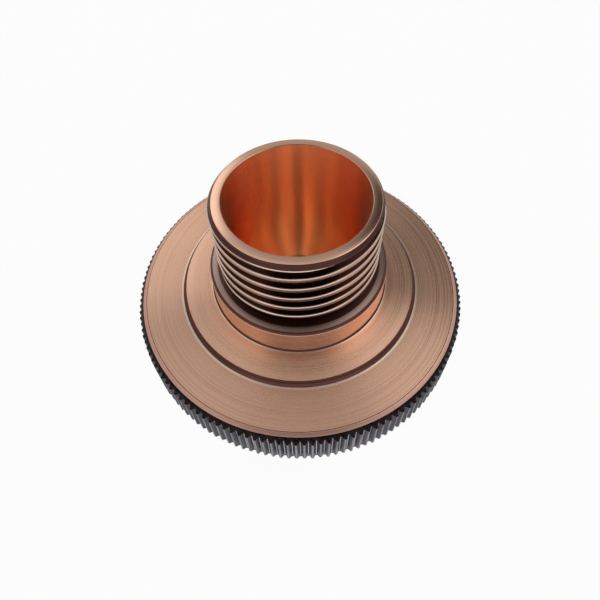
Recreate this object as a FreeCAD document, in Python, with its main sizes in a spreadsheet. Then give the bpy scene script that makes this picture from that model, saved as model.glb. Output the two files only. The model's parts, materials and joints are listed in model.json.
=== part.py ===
import FreeCAD, Part
import math
import os
import Sketcher

# Laser cutting nozzle, turned from one copper bar.
# Millimetres. +Z runs along the axis toward the threaded neck, and the origin is
# the centre of the nose's flat tip, where the beam and the gas leave.

doc = FreeCAD.newDocument("laser_nozzle")

DRIVING = [
    # nose below the flange
    ("nose_height", 4.6),
    ("nose_base_radius", 12.0),
    ("tip_radius", 2.8),
    ("tip_chamfer", 0.3),
    # flange and its knurled rim
    ("flange_radius", 14.86),
    ("flange_thickness", 4.3),
    ("edge_break", 0.29),
    ("edge_drop", 0.14),
    ("knurl_top_chamfer", 0.47),
    ("knurl_foot_chamfer", 0.45),
    ("knurl_teeth", 148),
    ("knurl_depth", 0.32),
    ("knurl_stock", 0.05),
    # raised seat that closes on the cutting head's face
    ("seat_radius", 10.5),
    ("seat_rise", 0.5),
    ("seat_chamfer", 0.08),
    ("seat_foot", 0.25),
    # locating collar
    ("collar_radius", 7.85),
    ("collar_rise", 2.65),
    ("collar_chamfer", 0.2),
    ("collar_foot", 0.15),
    # threaded neck
    ("neck_height", 10.85),
    ("thread_radius", 7.0),
    ("thread_pitch", 1.25),
    ("thread_crest", 0.36),
    ("thread_flank_angle", 30.0),
    ("thread_start_rise", 0.545),
    ("thread_overcut", 0.05),
    ("lip_chamfer", 0.35),
    ("lip_chamfer_drop", 0.42),
    ("relief_length", 1.15),
    ("relief_depth", 0.85),
    ("relief_run", 0.35),
    # bore, from the mouth down to the orifice
    ("mouth_radius", 5.95),
    ("bore_half_angle", 7.5),
    ("bore_depth", 13.35),
    ("funnel_half_angle", 30.0),
    ("orifice_radius", 1.0),
]


class Size:
    """A length or angle with its present number and the expression that ties it to the sheet."""

    def __init__(self, number, text):
        self.number = number
        self.text = text

    def __add__(self, other):
        return Size(self.number + other.number, f"({self.text} + {other.text})")

    def __sub__(self, other):
        return Size(self.number - other.number, f"({self.text} - {other.text})")

    def __neg__(self):
        return Size(-self.number, f"(-{self.text})")

    def __mul__(self, factor):
        return Size(self.number * factor, f"({self.text} * {factor})")

    def over(self, length, angle):
        """This length less the run of a slope at the given angle over another length."""
        run = length.number * math.tan(math.radians(angle.number))
        return Size(self.number - run, f"({self.text} - {length.text} * tan({angle.text} * 1 deg))")

    def run_at(self, angle):
        """How far a slope at the given angle to the axis goes along it while it covers this length."""
        run = self.number / math.tan(math.radians(angle.number))
        return Size(run, f"({self.text} / tan({angle.text} * 1 deg))")


sheet = doc.addObject("Spreadsheet::Sheet", "sizes")
size = {}
for row, (name, number) in enumerate(DRIVING, start=1):
    sheet.set(f"A{row}", name)
    sheet.set(f"B{row}", str(number))
    sheet.setAlias(f"B{row}", name)
    size[name] = Size(float(number), f"sizes.{name}")
doc.recompute()

# Heights above the tip, and radii that follow from others
ground = Size(0.0, "0")
rim_foot = size["nose_height"]
face = rim_foot + size["flange_thickness"]
seat = face + size["seat_rise"]
collar_top = seat + size["collar_rise"]
relief_top = collar_top + size["relief_length"]
lip = face + size["neck_height"]
bore_end = lip - size["bore_depth"]
bore_end_radius = size["mouth_radius"].over(size["bore_depth"], size["bore_half_angle"])
funnel_end = bore_end - (bore_end_radius - size["orifice_radius"]).run_at(size["funnel_half_angle"])
relief_radius = size["thread_radius"] - size["relief_depth"]
knurl_top = face - size["edge_drop"]
knurl_top_radius = size["flange_radius"] - size["knurl_top_chamfer"]
knurl_foot_radius = size["flange_radius"] - size["knurl_foot_chamfer"]
face_radius = knurl_top_radius - size["edge_break"]
rim_blank = size["flange_radius"] + size["knurl_stock"]

body = doc.addObject("PartDesign::Body", "turned_body")


def origin_plane(role):
    """The body's own origin plane with this role."""
    return next(plane for plane in body.Origin.OriginFeatures if plane.Role == role)


def new_sketch(name, role):
    """An empty sketch on one of the body's origin planes."""
    sketch = body.newObject("Sketcher::SketchObject", name)
    sketch.AttachmentSupport = [(origin_plane(role), "")]
    sketch.MapMode = "FlatFace"
    return sketch


def place_point(sketch, edge, across, up):
    """Fixes the start of an edge at a distance across and up from the sketch's origin."""
    for kind, distance, axis in (("DistanceX", across, -2), ("DistanceY", up, -1)):
        if distance.number == 0:
            sketch.addConstraint(Sketcher.Constraint("PointOnObject", edge, 1, axis))
            continue
        reach = abs(distance.number)
        start, end = ((-1, 1), (edge, 1)) if distance.number > 0 else ((edge, 1), (-1, 1))
        index = sketch.addConstraint(Sketcher.Constraint(kind, *start, *end, reach))
        sign = "" if distance.number > 0 else "-"
        sketch.setExpression(f"Constraints[{index}]", f"{sign}{distance.text}")


def closed_outline(sketch, corners):
    """Draws straight edges from corner to corner and fixes each corner by its two distances."""
    points = [FreeCAD.Vector(across.number, up.number, 0) for across, up in corners]
    count = len(points)
    for index, start in enumerate(points):
        sketch.addGeometry(Part.LineSegment(start, points[(index + 1) % count]))
    for index, (across, up) in enumerate(corners):
        sketch.addConstraint(Sketcher.Constraint("Coincident", index, 2, (index + 1) % count, 1))
        place_point(sketch, index, across, up)


def turned_blank():
    """The half section, spun about the axis: lip, neck, relief, collar, seat, flange, nose and bore."""
    section = new_sketch("half_section", "XZ_Plane")
    corners = [
        (size["mouth_radius"], lip),
        (size["thread_radius"] - size["lip_chamfer"], lip),
        (size["thread_radius"], lip - size["lip_chamfer_drop"]),
        (size["thread_radius"], relief_top),
        (relief_radius, relief_top - size["relief_run"]),
        (relief_radius, collar_top),
        (size["collar_radius"] - size["collar_chamfer"], collar_top),
        (size["collar_radius"], collar_top - size["collar_chamfer"]),
        (size["collar_radius"], seat + size["collar_foot"]),
        (size["collar_radius"] + size["collar_foot"], seat),
        (size["seat_radius"] - size["seat_chamfer"], seat),
        (size["seat_radius"], seat - size["seat_chamfer"]),
        (size["seat_radius"], face + size["seat_foot"]),
        (size["seat_radius"] + size["seat_foot"], face),
        (rim_blank, face),
        (rim_blank, rim_foot),
        (size["nose_base_radius"], rim_foot),
        (size["tip_radius"] + size["tip_chamfer"], size["tip_chamfer"]),
        (size["tip_radius"], ground),
        (size["orifice_radius"], ground),
        (size["orifice_radius"], funnel_end),
        (bore_end_radius, bore_end),
    ]
    closed_outline(section, corners)
    turning = body.newObject("PartDesign::Revolution", "turning")
    turning.Profile = section
    turning.ReferenceAxis = (section, ["V_Axis"])
    turning.Angle = 360
    return turning


def knurled_rim():
    """The rim as one closed solid: edge break, V teeth, and a chamfer across both ends of the teeth."""
    teeth = round(size["knurl_teeth"].number)
    crest = size["flange_radius"].number
    valley = crest - size["knurl_depth"].number
    top_end = knurl_top - size["knurl_top_chamfer"]
    foot_end = rim_foot + size["knurl_foot_chamfer"]
    # radius and height of each level, first on a crest and then in a valley
    levels = [
        ((face_radius.number, face.number), (face_radius.number, face.number)),
        ((knurl_top_radius.number, knurl_top.number), (knurl_top_radius.number, knurl_top.number)),
        ((crest, top_end.number), (valley, top_end.number + size["knurl_depth"].number)),
        ((crest, foot_end.number), (valley, foot_end.number - size["knurl_depth"].number)),
        ((knurl_foot_radius.number, rim_foot.number), (knurl_foot_radius.number, rim_foot.number)),
    ]
    rings = []
    for level in levels:
        ring = []
        for half_step in range(2 * teeth):
            radius, height = level[half_step % 2]
            angle = half_step * math.pi / teeth
            ring.append(FreeCAD.Vector(radius * math.cos(angle), radius * math.sin(angle), height))
        rings.append(ring)
    faces = [Part.Face(Part.makePolygon(ring + ring[:1])) for ring in (rings[0], rings[-1])]
    for upper, lower in zip(rings, rings[1:]):
        for index in range(2 * teeth):
            following = (index + 1) % (2 * teeth)
            corners = [upper[index], upper[following], lower[following], lower[index], upper[index]]
            faces.append(Part.Face(Part.makePolygon(corners)))
    shell = Part.makeShell(faces)
    shell.sewShape()
    return Part.makeSolid(shell)


def knurl_cutter():
    """A ring round the flange that takes the rim's turning stock off, down to the knurled form."""
    height = size["flange_thickness"].number
    outer = rim_blank.number + size["knurl_depth"].number
    ring = Part.makeCylinder(outer, height, FreeCAD.Vector(0, 0, rim_foot.number))
    cutter = doc.addObject("Part::Feature", "knurl_cutter")
    cutter.Shape = ring.cut(knurled_rim())
    return cutter


def neck_thread():
    """Right-hand thread: a V groove that starts in the relief at -Y and runs off through the lip."""
    groove = new_sketch("thread_groove", "YZ_Plane")
    half_opening = (size["thread_pitch"] - size["thread_crest"]) * 0.5
    root = size["thread_radius"] - half_opening.run_at(size["thread_flank_angle"])
    outside = size["thread_radius"] + size["thread_overcut"]
    start = collar_top + size["thread_start_rise"]
    corners = [
        (-root, start),
        (-size["thread_radius"], start + half_opening),
        (-outside, start + half_opening),
        (-outside, start - half_opening),
        (-size["thread_radius"], start - half_opening),
    ]
    closed_outline(groove, corners)
    thread = body.newObject("PartDesign::SubtractiveHelix", "thread")
    thread.Profile = groove
    thread.ReferenceAxis = (groove, ["V_Axis"])
    thread.Mode = "pitch-height-angle"
    thread.setExpression("Pitch", size["thread_pitch"].text)
    thread.setExpression("Height", (lip + half_opening - start).text)
    thread.Angle = 0
    thread.LeftHanded = False
    thread.Reversed = False
    return thread


turned_blank()
doc.recompute()
blank_volume = body.Shape.Volume

body.Tip = neck_thread()
doc.recompute()
threaded_volume = body.Shape.Volume

nozzle = doc.addObject("Part::Cut", "nozzle")
nozzle.Label = "nozzle_body"
nozzle.Base = body
nozzle.Tool = knurl_cutter()
nozzle.Placement = FreeCAD.Placement()
doc.recompute()
knurled_volume = nozzle.Shape.Volume

print("volumes", round(blank_volume, 1), round(threaded_volume, 1), round(knurled_volume, 1))
if not blank_volume > threaded_volume > knurled_volume > 0:
    raise RuntimeError("a cut took no material away")

for item in doc.Objects:
    if "Invalid" in item.State or "Error" in item.State:
        raise RuntimeError(f"{item.Name} failed: {item.State}")
if nozzle.Shape.isNull() or not nozzle.Shape.isValid() or len(nozzle.Shape.Solids) != 1:
    raise RuntimeError("the nozzle isn't one valid solid")

os.makedirs("parts", exist_ok=True)
nozzle.Shape.exportStep(f"parts/{nozzle.Label}.step")
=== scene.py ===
"""A turned copper laser cutting nozzle in a plain studio, with its neck up."""
import json
import math

import bmesh
import bpy
import numpy as np
from mathutils import Matrix, Vector


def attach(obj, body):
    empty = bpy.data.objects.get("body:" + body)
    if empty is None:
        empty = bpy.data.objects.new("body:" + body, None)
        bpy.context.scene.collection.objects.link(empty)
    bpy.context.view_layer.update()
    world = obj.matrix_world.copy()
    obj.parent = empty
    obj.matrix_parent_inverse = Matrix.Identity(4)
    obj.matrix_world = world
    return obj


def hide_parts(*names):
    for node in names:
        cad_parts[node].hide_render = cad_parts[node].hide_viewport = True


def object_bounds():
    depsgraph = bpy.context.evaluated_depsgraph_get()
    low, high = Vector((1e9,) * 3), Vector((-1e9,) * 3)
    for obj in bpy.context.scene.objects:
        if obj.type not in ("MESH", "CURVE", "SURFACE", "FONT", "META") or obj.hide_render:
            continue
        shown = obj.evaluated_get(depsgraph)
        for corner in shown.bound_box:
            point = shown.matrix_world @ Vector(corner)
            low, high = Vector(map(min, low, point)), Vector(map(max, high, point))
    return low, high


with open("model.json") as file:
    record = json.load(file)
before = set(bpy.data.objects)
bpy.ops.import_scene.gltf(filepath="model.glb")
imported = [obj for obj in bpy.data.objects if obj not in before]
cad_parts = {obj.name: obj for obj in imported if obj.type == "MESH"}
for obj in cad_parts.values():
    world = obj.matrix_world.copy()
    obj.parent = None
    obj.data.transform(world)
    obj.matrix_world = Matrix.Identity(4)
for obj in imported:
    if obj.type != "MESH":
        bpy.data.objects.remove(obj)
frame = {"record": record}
cad_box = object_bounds()

MM = 0.001
mounts = {mount["name"]: mount for mount in frame["record"]["mounts"]}

# Sizes in millimetres. The first few come with the frame, the rest repeat the part's own.
THREAD_RADIUS = mounts["neck_thread"]["dims"]["r_mm"]
COLLAR_RADIUS = mounts["locating_collar"]["dims"]["r_mm"]
ORIFICE_RADIUS = mounts["orifice"]["dims"]["r_mm"]
SEAT_Z = mounts["sealing_seat"]["pos_m"][2] / MM
LIP_Z = round(cad_box[1].z / MM, 2)

RIM_FOOT_Z = 4.6
FACE_Z = 8.9
NOSE_RADIUS = 12.0
TIP_RADIUS = 2.8
TIP_CHAMFER = 0.3
FLANGE_RADIUS = 14.86
RIM_EDGE_BREAK = 0.29
RIM_EDGE_DROP = 0.14
KNURL_TOP_CHAMFER = 0.47
KNURL_FOOT_CHAMFER = 0.45
KNURL_TEETH = 148
KNURL_DEPTH = 0.32
SEAT_RADIUS = 10.5
SEAT_CHAMFER = 0.08
SEAT_FOOT = 0.25
COLLAR_TOP_Z = 12.05
COLLAR_CHAMFER = 0.2
COLLAR_FOOT = 0.15
RELIEF_TOP_Z = 13.2
RELIEF_RUN = 0.35
RELIEF_RADIUS = 6.15
THREAD_PITCH = 1.25
THREAD_CREST = 0.36
THREAD_FLANK = math.radians(30)
THREAD_START_Z = COLLAR_TOP_Z + 0.545
LIP_CHAMFER = 0.35
LIP_CHAMFER_DROP = 0.42
MOUTH_RADIUS = 5.95
BORE_SLOPE = math.tan(math.radians(7.5))
BORE_END_Z = 6.4
BORE_END_RADIUS = 4.192
FUNNEL_END_Z = 0.87

# Fine forms that only this mesh has: broken edges, rounded crests, a blunt root, the thread's run-out
EDGE_BREAK = 0.035
CREST_ROUND = 0.07
CREST_BEND = CREST_ROUND * 0.3
BEND_DEPTH_INSIDE = 0.016
BEND_DEPTH_OUTSIDE = 0.012
CREST_DISH = 0.004
ROOT_HALF = 0.04
ROOT_FILL = 0.055
ROOT_SIDE_FILL = 0.069
RUN_OUT_Z = LIP_Z - 0.15
RUN_OUT_RISE = 0.35
TOOTH_UNEVENNESS = 0.05

# Half widths of a tooth's flat crest and of the flat valley beside it, as shares of one tooth
CREST_SHARE = 0.11
VALLEY_SHARE = 0.05
COLUMNS_A_TOOTH = 4
COLUMNS = KNURL_TEETH * COLUMNS_A_TOOTH

# A broken corner's middle point lies between the corner itself and the chord across it
CORNER_PULL = 0.55
CHORD_PULL = 0.45

# Widths of the narrow bands that have a material of their own, and the radius out to which the collar top has
# full painted shade
COLLAR_TOP_SHADE = 7.2
SEAT_HIGHLIGHT_BAND = 0.12
FACE_HIGHLIGHT_BAND = 0.20
RIM_SHADE_BAND = 0.05
LIP_SHADE_SHARE = 0.75

# How many rings each sloped stretch gets, and how far along a knurl chamfer the first one lies
LIP_RINGS = 8
RELIEF_RINGS = 7
KNURL_TOP_RINGS = 8
KNURL_FOOT_RINGS = 6
FIRST_KNURL_SHARE = 0.2

KNURL_TOP_Z = FACE_Z - RIM_EDGE_DROP
KNURL_TOP_RADIUS = FLANGE_RADIUS - KNURL_TOP_CHAMFER
KNURL_FOOT_RADIUS = FLANGE_RADIUS - KNURL_FOOT_CHAMFER

# Material numbers on the one mesh. Several of them paint light and shade: near-black copper in recesses, pale
# rings at edges, a half-shaded shoulder, and lighter and darker tooth parts.
(FACES, LIP, BORE, THREAD, RECESS_SHADE, EDGE_HIGHLIGHT, SHOULDER_HALF_SHADE, RIM_EDGE,
 TOOTH_END_SHADE, TOOTH_FLANK, TOOTH_CREST_LIT, TOOTH_ROOT_LIT) = range(12)


def column_angles():
    """Angles of the mesh's columns: two at the crest and two at the valley of every tooth."""
    tooth = 2 * math.pi / KNURL_TEETH
    within = np.array([-CREST_SHARE, CREST_SHARE, 0.5 - VALLEY_SHARE, 0.5 + VALLEY_SHARE])
    angles = (np.arange(KNURL_TEETH)[:, None] + within[None, :]).ravel() * tooth
    return np.append(angles, angles[0] + 2 * math.pi)


ANGLES = column_angles()
rng = np.random.default_rng(7)


def knurl_radius():
    """The rim's outer radius in each column, with each tooth's small unevenness."""
    high = FLANGE_RADIUS - rng.uniform(0, TOOTH_UNEVENNESS, KNURL_TEETH)
    low = FLANGE_RADIUS - KNURL_DEPTH + rng.uniform(0, TOOTH_UNEVENNESS, KNURL_TEETH)
    radius = np.stack([high, high, low, low], axis=1).ravel()
    return np.append(radius, radius[0])


KNURL_RADIUS = knurl_radius()
GROOVE_HALF = (THREAD_PITCH - THREAD_CREST) / 2
GROOVE_DEPTH = GROOVE_HALF / math.tan(THREAD_FLANK)
FLANK_SLOPE = 1 / math.tan(THREAD_FLANK)

# The groove's outline: how far a point is from the groove's middle, and how deep the wall lies there
GROOVE_OUTLINE = np.array([
    (0, GROOVE_DEPTH - ROOT_FILL),
    (ROOT_HALF, GROOVE_DEPTH - ROOT_SIDE_FILL),
    (GROOVE_HALF - CREST_ROUND, CREST_ROUND * FLANK_SLOPE),
    (GROOVE_HALF - CREST_BEND, CREST_BEND * FLANK_SLOPE + BEND_DEPTH_INSIDE),
    (GROOVE_HALF + CREST_BEND, BEND_DEPTH_OUTSIDE),
    (GROOVE_HALF + CREST_ROUND, 0),
    (THREAD_PITCH / 2, CREST_DISH),
])


def groove_centre(angles):
    """Height of one turn of the right-hand groove at these angles."""
    return THREAD_START_Z + THREAD_PITCH * (angles - 1.5 * math.pi) / (2 * math.pi)


def thread_radius(angles, z):
    """Radius of the threaded wall: a crest land with rounded edges, and a V with a small blunt root."""
    away = np.mod(z - groove_centre(angles) + THREAD_PITCH / 2, THREAD_PITCH) - THREAD_PITCH / 2
    # the groove fades out over a little more than a quarter turn, so that the lip keeps its full width
    left = np.clip((RUN_OUT_Z - (z - away)) / RUN_OUT_RISE, 0, 1)
    offsets, depths = GROOVE_OUTLINE.T
    return THREAD_RADIUS - left * np.interp(np.abs(away), offsets, depths)


def lip_envelope(z):
    """Radius of the lip's chamfer at this height, or of the neck below it."""
    return THREAD_RADIUS - np.maximum(z - (LIP_Z - LIP_CHAMFER_DROP), 0) * LIP_CHAMFER / LIP_CHAMFER_DROP


def relief_envelope(z):
    """Radius of the slope that leads from the relief out to the neck."""
    rise = (z - (RELIEF_TOP_Z - RELIEF_RUN)) / RELIEF_RUN
    return RELIEF_RADIUS + np.clip(rise, 0, 1) * (THREAD_RADIUS - RELIEF_RADIUS)


rings = []
ring_materials = []


def add_ring(radius, z, material):
    """One more ring of points. The material is that of the band between this ring and the next."""
    radius = np.broadcast_to(radius, ANGLES.shape)
    z = np.broadcast_to(z, ANGLES.shape)
    rings.append(np.stack([radius * np.cos(ANGLES), radius * np.sin(ANGLES), z], axis=1))
    ring_materials.append(material)


def add_corners(corners):
    """Rings along a straight-sided outline, with each corner broken by a tiny three-point round."""
    points = np.array([corner[:2] for corner in corners], float)
    for index, (r, z, material) in enumerate(corners):
        here = points[index]
        if index in (0, len(corners) - 1):
            add_ring(r, z, material)
            continue
        before, after = points[index - 1] - here, points[index + 1] - here
        reach = min(EDGE_BREAK, np.linalg.norm(before) / 3, np.linalg.norm(after) / 3)
        start = here + before / np.linalg.norm(before) * reach
        end = here + after / np.linalg.norm(after) * reach
        middle = (start + end) / 2 * CHORD_PULL + here * CORNER_PULL
        for point in (start, middle, end):
            add_ring(point[0], point[1], material)


def lip_rings():
    """The flat lip, and its chamfer with painted shade on the upper part."""
    edge = np.minimum(lip_envelope(LIP_Z), thread_radius(ANGLES, LIP_Z))
    add_ring(MOUTH_RADIUS + EDGE_BREAK, LIP_Z, LIP)
    add_ring(edge - EDGE_BREAK, LIP_Z, LIP)
    for z in np.linspace(LIP_Z - EDGE_BREAK * 0.6, LIP_Z - LIP_CHAMFER_DROP, LIP_RINGS):
        # the upper part of the chamfer gets painted shade
        material = RECESS_SHADE if z > LIP_Z - LIP_SHADE_SHARE * LIP_CHAMFER_DROP else THREAD
        add_ring(np.minimum(lip_envelope(z), thread_radius(ANGLES, z)), z, material)


def thread_rings():
    """Rows that climb with the thread, cut off level at the chamfer and at the relief."""
    climb = ANGLES / (2 * math.pi) * THREAD_PITCH
    top, foot = LIP_Z - LIP_CHAMFER_DROP, RELIEF_TOP_Z
    marks = GROOVE_OUTLINE[1:-1, 0]
    steps = np.sort(np.concatenate([marks, [THREAD_PITCH / 2], THREAD_PITCH - marks]))[::-1]
    # more turns than the neck has, from the top down, so that both ends are reached
    for turn in range(7, -2, -1):
        for step in steps:
            row = groove_centre(0.0) + turn * THREAD_PITCH + step
            if row > top or row + THREAD_PITCH < foot:
                continue
            z = np.clip(row + climb, foot, top)
            add_ring(thread_radius(ANGLES, z), z, THREAD)


def relief_rings():
    """The slope from the neck into the relief, where the groove begins."""
    for z in np.linspace(RELIEF_TOP_Z, RELIEF_TOP_Z - RELIEF_RUN, RELIEF_RINGS):
        add_ring(np.minimum(relief_envelope(z), thread_radius(ANGLES, z)), z, RECESS_SHADE)


def collar_seat_and_face_rings():
    """From the relief over the collar, the raised seat and the flange's face to the rim."""
    # painted shade on the relief, the inner collar top, the collar's chamfer and foot, the seat's edge and
    # wall, and a band inside the rim; painted highlight rings at the foot of the collar and of the seat;
    # painted half shade on the shoulder
    add_corners([
        (RELIEF_RADIUS, RELIEF_TOP_Z - RELIEF_RUN, RECESS_SHADE),
        (RELIEF_RADIUS, COLLAR_TOP_Z, RECESS_SHADE),
        (COLLAR_TOP_SHADE, COLLAR_TOP_Z, SHOULDER_HALF_SHADE),
        (COLLAR_RADIUS - COLLAR_CHAMFER, COLLAR_TOP_Z, RECESS_SHADE),
        (COLLAR_RADIUS, COLLAR_TOP_Z - COLLAR_CHAMFER, FACES),
        (COLLAR_RADIUS, SEAT_Z + COLLAR_FOOT, RECESS_SHADE),
        (COLLAR_RADIUS + COLLAR_FOOT, SEAT_Z, EDGE_HIGHLIGHT),
        (COLLAR_RADIUS + COLLAR_FOOT + SEAT_HIGHLIGHT_BAND, SEAT_Z, FACES),
        (SEAT_RADIUS - SEAT_CHAMFER, SEAT_Z, RECESS_SHADE),
        (SEAT_RADIUS, SEAT_Z - SEAT_CHAMFER, RECESS_SHADE),
        (SEAT_RADIUS, FACE_Z + SEAT_FOOT, RECESS_SHADE),
        (SEAT_RADIUS + SEAT_FOOT, FACE_Z, EDGE_HIGHLIGHT),
        (SEAT_RADIUS + SEAT_FOOT + FACE_HIGHLIGHT_BAND, FACE_Z, FACES),
        # a thin band of painted shade just inside the rim's broken edge
        (KNURL_TOP_RADIUS - RIM_EDGE_BREAK - RIM_SHADE_BAND, FACE_Z, RECESS_SHADE),
        (KNURL_TOP_RADIUS - RIM_EDGE_BREAK, FACE_Z, RIM_EDGE),
        (KNURL_TOP_RADIUS, KNURL_TOP_Z, TOOTH_END_SHADE),
    ])


def knurled_rim_rings():
    """The teeth, cut off by a chamfer at the top and at the foot."""
    # the chamfers get the near-black tooth-end material, the blackened finish with painted shade
    for share in np.linspace(FIRST_KNURL_SHARE, 1.0, KNURL_TOP_RINGS):
        drop = KNURL_TOP_CHAMFER * share
        material = TOOTH_END_SHADE if share < 1 else TOOTH_FLANK
        add_ring(np.minimum(KNURL_TOP_RADIUS + drop, KNURL_RADIUS), KNURL_TOP_Z - drop, material)
    for share in np.linspace(1.0, FIRST_KNURL_SHARE, KNURL_FOOT_RINGS):
        rise = KNURL_FOOT_CHAMFER * share
        add_ring(np.minimum(KNURL_FOOT_RADIUS + rise, KNURL_RADIUS), RIM_FOOT_Z + rise, TOOTH_END_SHADE)


def nose_and_bore_rings():
    """Under the flange, down the nose to the tip, and up the orifice, the funnel and the bore."""
    add_corners([
        (KNURL_FOOT_RADIUS, RIM_FOOT_Z, FACES),
        (NOSE_RADIUS, RIM_FOOT_Z, FACES),
        (TIP_RADIUS + TIP_CHAMFER, TIP_CHAMFER, FACES),
        (TIP_RADIUS, 0, FACES),
        (ORIFICE_RADIUS, 0, BORE),
        (ORIFICE_RADIUS, FUNNEL_END_Z, BORE),
        (BORE_END_RADIUS, BORE_END_Z, BORE),
        (MOUTH_RADIUS - EDGE_BREAK * BORE_SLOPE, LIP_Z - EDGE_BREAK, BORE),
    ])


# The closed outline: down the outside from the lip, under the flange to the tip, and up the bore
lip_rings()
thread_rings()
relief_rings()
collar_seat_and_face_rings()
knurled_rim_rings()
nose_and_bore_rings()

MERGE_DISTANCE = 2e-7
SHARP_ANGLE = math.radians(32)


def build_nozzle():
    """One closed mesh from the rings, joined to the first ring again at the mouth."""
    points = np.concatenate(rings) * MM
    across = len(ANGLES)
    count = len(rings)
    # which part of a tooth each column starts: crest, flank, root, flank; the crest and root get lighter
    # copies of the blackened metal, painted highlight
    parts_of_tooth = (TOOTH_CREST_LIT, TOOTH_FLANK, TOOTH_ROOT_LIT, TOOTH_FLANK)
    faces, materials = [], []
    for ring in range(count):
        a, b = ring * across, (ring + 1) % count * across
        for column in range(COLUMNS):
            faces.append((a + column, b + column, b + column + 1, a + column + 1))
            material = ring_materials[ring]
            if material == TOOTH_FLANK:
                material = parts_of_tooth[column % COLUMNS_A_TOOTH]
            materials.append(material)
    mesh = bpy.data.meshes.new("turned_nozzle")
    mesh.from_pydata(points.tolist(), [], faces)
    mesh.polygons.foreach_set("material_index", materials)
    nozzle = bpy.data.objects.new("turned_nozzle", mesh)
    bpy.context.scene.collection.objects.link(nozzle)
    work = bmesh.new()
    work.from_mesh(mesh)
    bmesh.ops.remove_doubles(work, verts=work.verts, dist=MERGE_DISTANCE)
    bmesh.ops.recalc_face_normals(work, faces=work.faces)
    work.to_mesh(mesh)
    work.free()
    mesh.polygons.foreach_set("use_smooth", [True] * len(mesh.polygons))
    mesh.set_sharp_from_angle(angle=SHARP_ANGLE)
    weighted = nozzle.modifiers.new("weighted_normals", "WEIGHTED_NORMAL")
    weighted.keep_sharp = True
    weighted.weight = 100
    return nozzle


nozzle = build_nozzle()


class Nodes:
    """A short way to write a node tree."""

    def __init__(self, tree):
        self.tree = tree

    def add(self, kind, inputs=(), **settings):
        """A new node. Each input is a plain value, or another node's output to link."""
        node = self.tree.nodes.new(kind)
        for key, value in settings.items():
            setattr(node, key, value)
        for key, value in dict(inputs).items():
            self.feed(node.inputs[key], value)
        return node

    def feed(self, socket, value):
        if isinstance(value, bpy.types.NodeSocket):
            self.tree.links.new(value, socket)
        else:
            socket.default_value = value

    def math(self, operation, first, second=0.0, third=0.0):
        inputs = {0: first, 1: second, 2: third}
        return self.add("ShaderNodeMath", inputs, operation=operation).outputs[0]

    # a Mix node has its own sockets for each kind of data: 2 and 3 for values, 6 and 7 for colours
    def mix_colour(self, share, first, second):
        return self.add("ShaderNodeMix", {0: share, 6: first, 7: second}, data_type="RGBA").outputs[2]

    def mix_value(self, share, first, second):
        return self.add("ShaderNodeMix", {0: share, 2: first, 3: second}, data_type="FLOAT").outputs[0]

    def ramp(self, value, low, high, start, end, kind="LINEAR"):
        inputs = {0: value, 1: low, 2: high, 3: start, 4: end}
        return self.add("ShaderNodeMapRange", inputs, interpolation_type=kind).outputs[0]

    def noise(self, scale, detail, roughness=0.5, **place):
        dimensions = "1D" if "W" in place else "3D"
        inputs = {**place, "Scale": scale, "Detail": detail, "Roughness": roughness}
        return self.add("ShaderNodeTexNoise", inputs, noise_dimensions=dimensions).outputs[0]


def new_material(name):
    """A material with its node helper and its shader."""
    material = bpy.data.materials.new(name)
    material.use_nodes = True
    return material, Nodes(material.node_tree), material.node_tree.nodes["Principled BSDF"]


# The turning lines change with radius plus weighted height, so they show on flats, cones and walls alike
HEIGHT_WEIGHT = 1.37
BROAD_SCALE = 0.3
CLOUD_SCALE = 260.0
BROAD_SHARE = 0.4
FINE_SHARE = 0.8
CLOUD_SHARE = 0.15
LINE_SHARE = 0.85


def turned_metal(name, bright, deep, roughness, spread, line_depth, line_scale, anisotropy, painted_bands=()):
    """Metal with fine lines left by a lathe tool, all round the axis.

    Each painted band is an inner radius, an outer radius and the colour that holds inside the inner one: a
    painted highlight on bright bands, painted shade on dark ones.
    """
    material, n, shader = new_material(name)
    place = n.add("ShaderNodeNewGeometry").outputs["Position"]
    parts = n.add("ShaderNodeSeparateXYZ", {0: place}).outputs
    squares = n.math("ADD", n.math("POWER", parts[0], 2.0), n.math("POWER", parts[1], 2.0))
    radius = n.math("SQRT", squares)
    along = n.math("MULTIPLY_ADD", parts[2], HEIGHT_WEIGHT, radius)
    fine = n.noise(1.0, 3.0, 0.65, W=n.math("MULTIPLY", along, line_scale))
    broad = n.noise(1.0, 2.0, W=n.math("MULTIPLY", along, line_scale * BROAD_SCALE))
    cloud = n.noise(CLOUD_SCALE, 4.0, 0.6, Vector=place)
    lines = n.math("MULTIPLY_ADD", broad, BROAD_SHARE, n.math("MULTIPLY", fine, FINE_SHARE))
    tone = n.math("MULTIPLY_ADD", cloud, CLOUD_SHARE, n.math("MULTIPLY", lines, LINE_SHARE))
    colour = n.mix_colour(n.ramp(tone, 0.36, 0.62, 0.0, 1.0), deep, bright)
    # bands of painted highlight and shade, set by radius
    for low, high, painted_colour in painted_bands:
        colour = n.mix_colour(n.ramp(radius, low * MM, high * MM, 0.0, 1.0), painted_colour, colour)
    n.feed(shader.inputs["Base Color"], colour)
    n.feed(shader.inputs["Roughness"], n.ramp(lines, 0.35, 0.8, roughness - spread, roughness + spread))
    shader.inputs["Metallic"].default_value = 1.0
    shader.inputs["Anisotropic"].default_value = anisotropy
    shader.inputs["Anisotropic Rotation"].default_value = 0.25
    tangent = n.add("ShaderNodeTangent", direction_type="RADIAL", axis="Z").outputs[0]
    n.feed(shader.inputs["Tangent"], tangent)
    if line_depth:
        bump = n.add("ShaderNodeBump", {"Strength": 1.0, "Distance": line_depth, "Height": lines})
        n.feed(shader.inputs["Normal"], bump.outputs[0])
    return material


# Marks on the blackened teeth are finer round the rim than along a tooth
MARK_SCALE = (1600.0, 1600.0, 380.0)
BLACK_SPREAD = 0.06


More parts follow.
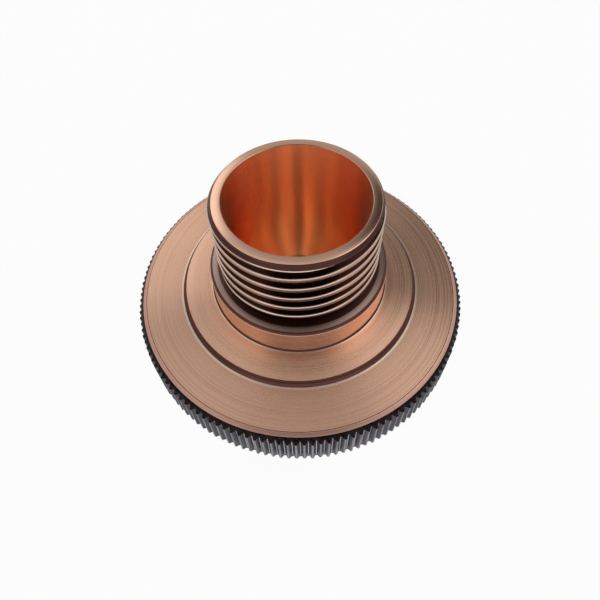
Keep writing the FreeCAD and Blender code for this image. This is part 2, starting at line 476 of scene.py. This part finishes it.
def blackened(name, deep, bright, roughness):
    """Blackened metal of the knurling, a little cloudy, with marks that run down the teeth."""
    material, n, shader = new_material(name)
    place = n.add("ShaderNodeNewGeometry").outputs["Position"]
    stretched = n.add("ShaderNodeVectorMath", {0: place, 1: MARK_SCALE}, operation="MULTIPLY").outputs[0]
    cloud = n.noise(1.0, 4.0, 0.6, Vector=stretched)
    n.feed(shader.inputs["Base Color"], n.mix_colour(n.ramp(cloud, 0.35, 0.65, 0.0, 1.0), deep, bright))
    smooth, rough = roughness - BLACK_SPREAD, roughness + BLACK_SPREAD
    n.feed(shader.inputs["Roughness"], n.ramp(cloud, 0.3, 0.7, smooth, rough))
    shader.inputs["Metallic"].default_value = 1.0
    return material


# On the thread, painted shade in the groove and a painted highlight along each edge of the crest
THREAD_PAINTED_LIGHT_AND_SHADE = (
    (6.983, 6.993, (1.00, 0.78, 0.65, 1)),
    (6.89, 6.92, (0.045, 0.018, 0.013, 1)),
)

# One material for each number on the mesh, in the same order
for material in (
    turned_metal("copper_faces", (0.98, 0.60, 0.42, 1), (0.80, 0.45, 0.30, 1), roughness=0.27, spread=0.04,
                 line_depth=2.2e-6, line_scale=6500.0, anisotropy=0.94),
    turned_metal("copper_lip", (0.96, 0.60, 0.43, 1), (0.84, 0.49, 0.34, 1), roughness=0.18, spread=0.03,
                 line_depth=0.8e-6, line_scale=9000.0, anisotropy=0.8),
    turned_metal("copper_bore", (1.00, 0.66, 0.45, 1), (0.97, 0.60, 0.39, 1), roughness=0.19, spread=0.03,
                 line_depth=0, line_scale=6000.0, anisotropy=0.98),
    # the thread's copper is a darker copy of the faces' copper, painted shade, under the thread's painted
    # bands
    turned_metal("copper_thread", (0.62, 0.40, 0.33, 1), (0.36, 0.20, 0.16, 1), roughness=0.20, spread=0.04,
                 line_depth=1.5e-6, line_scale=9000.0, anisotropy=0.5, painted_bands=THREAD_PAINTED_LIGHT_AND_SHADE),
    # near-black copper, painted shade on the relief, the collar top, chamfers and feet, the seat's wall, a
    # band inside the rim and the lip chamfer's upper part
    turned_metal("copper_recess", (0.17, 0.075, 0.062, 1), (0.07, 0.030, 0.024, 1), roughness=0.34,
                 spread=0.04, line_depth=2e-6, line_scale=9000.0, anisotropy=0.5),
    # pale copper rings at the foot of the collar and of the seat, painted highlight
    turned_metal("copper_bright", (1.00, 0.76, 0.61, 1), (1.00, 0.68, 0.52, 1), roughness=0.30, spread=0.04,
                 line_depth=2e-6, line_scale=9000.0, anisotropy=0.94),
    # a mid-dark copy of the copper, painted half shade on the outer collar top
    turned_metal("copper_shoulder", (0.62, 0.44, 0.37, 1), (0.42, 0.29, 0.25, 1), roughness=0.30, spread=0.04,
                 line_depth=2e-6, line_scale=9000.0, anisotropy=0.9),
    turned_metal("copper_edge", (0.90, 0.53, 0.41, 1), (0.70, 0.38, 0.30, 1), roughness=0.40, spread=0.06,
                 line_depth=3e-6, line_scale=12000.0, anisotropy=0.6),
    # the blackened finish made near black on the chamfers, painted shade
    blackened("tooth_end", (0.010, 0.006, 0.007, 1), (0.035, 0.022, 0.022, 1), 0.45),
    blackened("tooth_flank", (0.045, 0.045, 0.058, 1), (0.10, 0.099, 0.122, 1), 0.36),
    # the flank is the blackened finish; the crest and root are lighter copies of it, painted highlight
    blackened("tooth_crest", (0.22, 0.22, 0.265, 1), (0.46, 0.455, 0.52, 1), 0.38),
    blackened("tooth_root", (0.42, 0.42, 0.480, 1), (0.80, 0.79, 0.86, 1), 0.38),
):
    nozzle.data.materials.append(material)
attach(nozzle, "root")
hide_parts("nozzle_body")

# The floor shines by these shares, to the camera and in the metal, and takes light for the rest
FLOOR_REACH = 2.0
FLOOR_DROP = 0.00002
GLOW_TO_CAMERA = 0.96
GLOW_IN_METAL = 0.4


def pale_floor():
    """A floor that the camera sees as nearly white with a faint shadow, just below the tip."""
    mesh = bpy.data.meshes.new("floor")
    corners = [(x * FLOOR_REACH, y * FLOOR_REACH, 0) for x, y in ((-1, -1), (1, -1), (1, 1), (-1, 1))]
    mesh.from_pydata(corners, [], [(0, 1, 2, 3)])
    floor = bpy.data.objects.new("floor", mesh)
    bpy.context.scene.collection.objects.link(floor)
    floor.location.z = -FLOOR_DROP
    material, n, shader = new_material("floor_white")
    n.tree.nodes.remove(shader)
    diffuse = n.add("ShaderNodeBsdfDiffuse", {"Color": (0.9, 0.9, 0.9, 1)}).outputs[0]
    white = n.add("ShaderNodeEmission", {"Color": (1, 1, 1, 1), "Strength": 1.0}).outputs[0]
    ray = n.add("ShaderNodeLightPath").outputs
    in_metal = n.math("MULTIPLY", ray["Is Glossy Ray"], GLOW_IN_METAL)
    share = n.math("MULTIPLY_ADD", ray["Is Camera Ray"], GLOW_TO_CAMERA, in_metal)
    both = n.add("ShaderNodeMixShader", {0: share, 1: diffuse, 2: white}).outputs[0]
    n.feed(n.tree.nodes["Material Output"].inputs[0], both)
    mesh.materials.append(material)


pale_floor()

# Soft patches in the surroundings: direction, half width and softness of the edge in
# degrees, brightness. The sixth is the dark round the camera.
ROOM_BRIGHTNESS = 0.45
PATCHES = (
    ((-0.05, 0.08, 1.00), 30, 10, 0.68),
    ((0.05, 0.60, 0.80), 17, 10, 0.30),
    ((0.36, 0.58, 0.73), 12, 6, 0.04),
    ((0.55, 0.08, 0.83), 17, 6, 1.20),
    ((-0.46, 0.67, 0.58), 16, 6, 1.15),
    ((0.00, -0.60, 0.80), 28, 8, 0.02),
    ((-0.48, -0.85, 0.20), 20, 8, 0.85),
    ((0.00, -0.97, 0.22), 20, 8, 0.85),
    ((0.48, -0.85, 0.20), 20, 8, 0.85),
)


def studio_room():
    """A grey room with light and dark patches, each over those before it. The camera itself sees white."""
    world = bpy.data.worlds.new("studio")
    world.use_nodes = True
    bpy.context.scene.world = world
    n = Nodes(world.node_tree)
    background = n.tree.nodes["Background"]
    background.inputs["Color"].default_value = (1, 1, 1, 1)
    direction = n.add("ShaderNodeTexCoord").outputs["Generated"]
    brightness = ROOM_BRIGHTNESS
    for towards, half_width, softness, value in PATCHES:
        aim = Vector(towards).normalized()
        along = n.add("ShaderNodeVectorMath", {0: direction, 1: aim}, operation="DOT_PRODUCT")
        outer = math.cos(math.radians(half_width + softness))
        inner = math.cos(math.radians(half_width - softness))
        share = n.ramp(along.outputs["Value"], outer, inner, 0.0, 1.0, "SMOOTHSTEP")
        brightness = n.mix_value(share, brightness, value)
    seen = n.add("ShaderNodeLightPath").outputs["Is Camera Ray"]
    n.feed(background.inputs["Strength"], n.mix_value(seen, brightness, 1.0))


studio_room()

# The camera's numbers come from a pinhole camera that a separate program fitted to the photograph, with the
# part's sizes assumed. Place and axes are in the part's frame, focal length and centre in the image's pixels.
IMAGE = 600
FOCAL = 486.4
CENTRE_X, CENTRE_Y = 295.2, 206.5
EYE = Vector((0.0, -26.125, 37.959 + FACE_Z)) * MM
RIGHT = Vector((0.9995, -0.02088, -0.02367))
UP = Vector((0.03139, 0.73654, 0.67566))
BACK = RIGHT.cross(UP)


def fitted_camera():
    """The camera that looks at the nozzle as the photograph does."""
    data = bpy.data.cameras.new("camera")
    data.sensor_width = 36.0
    data.lens = FOCAL * data.sensor_width / IMAGE
    data.shift_x = (IMAGE / 2 - CENTRE_X) / IMAGE
    data.shift_y = (CENTRE_Y - IMAGE / 2) / IMAGE
    data.clip_start = 0.001
    camera = bpy.data.objects.new("camera", data)
    bpy.context.scene.collection.objects.link(camera)
    camera.matrix_world = Matrix.Translation(EYE) @ Matrix((RIGHT, UP, BACK)).transposed().to_4x4()
    bpy.context.scene.camera = camera


fitted_camera()

bpy.context.scene.view_settings.view_transform = "Standard"
bpy.context.scene.cycles.glossy_bounces = 8
